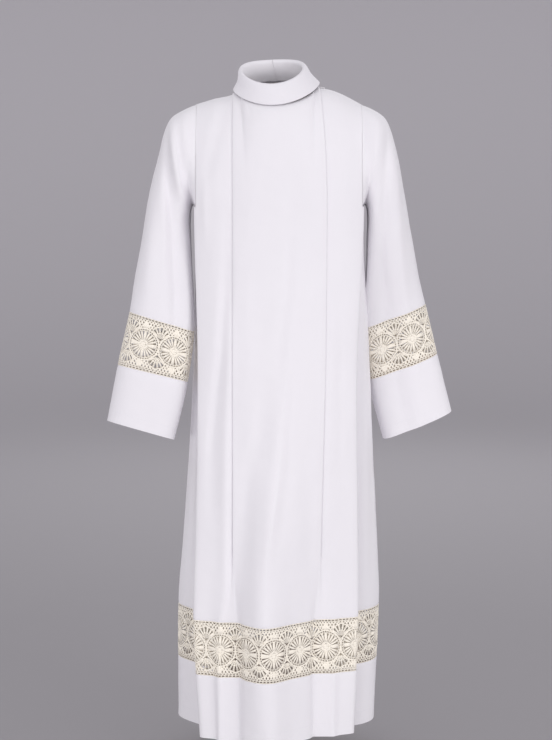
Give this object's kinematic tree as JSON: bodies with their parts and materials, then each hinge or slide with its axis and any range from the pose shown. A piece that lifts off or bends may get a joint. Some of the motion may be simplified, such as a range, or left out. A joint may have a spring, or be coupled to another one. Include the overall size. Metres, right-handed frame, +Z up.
{
  "type": "alb robe",
  "caption": "Long white alb with a fold-over collar, box pleated front and back, side gores, set-in sleeves and ivory lace bands round the hem and sleeves.",
  "frame": {"origin": "in the neck opening, level with the inner ends of the shoulder seams, where the wearer's neck and shoulders hold the robe", "axes": "+Z up, front facing -Y, the wearer's right arm towards -X"},
  "size_m": [0.7745, 0.362, 1.5046],
  "materials": {
    "white_cloth": "matt plain weave, pressed",
    "collar_cloth": "matt plain weave, interlined and pressed",
    "ecru_lace": "matt corded lace"
  },
  "bodies": {
    "root": {"front": "white_cloth", "back": "white_cloth", "gore_right": "white_cloth", "gore_left": "white_cloth", "hem_front": "white_cloth", "hem_back": "white_cloth", "hem_gore_right": "white_cloth", "hem_gore_left": "white_cloth", "sleeve_right": "white_cloth", "sleeve_left": "white_cloth", "cuff_right": "white_cloth", "cuff_left": "white_cloth", "back_placket": "white_cloth", "collar": "collar_cloth", "lace_front": "ecru_lace", "lace_back": "ecru_lace", "lace_gore_right": "ecru_lace", "lace_gore_left": "ecru_lace", "sleeve_lace_right": "ecru_lace", "sleeve_lace_left": "ecru_lace"}
  },
  "joints": []
}
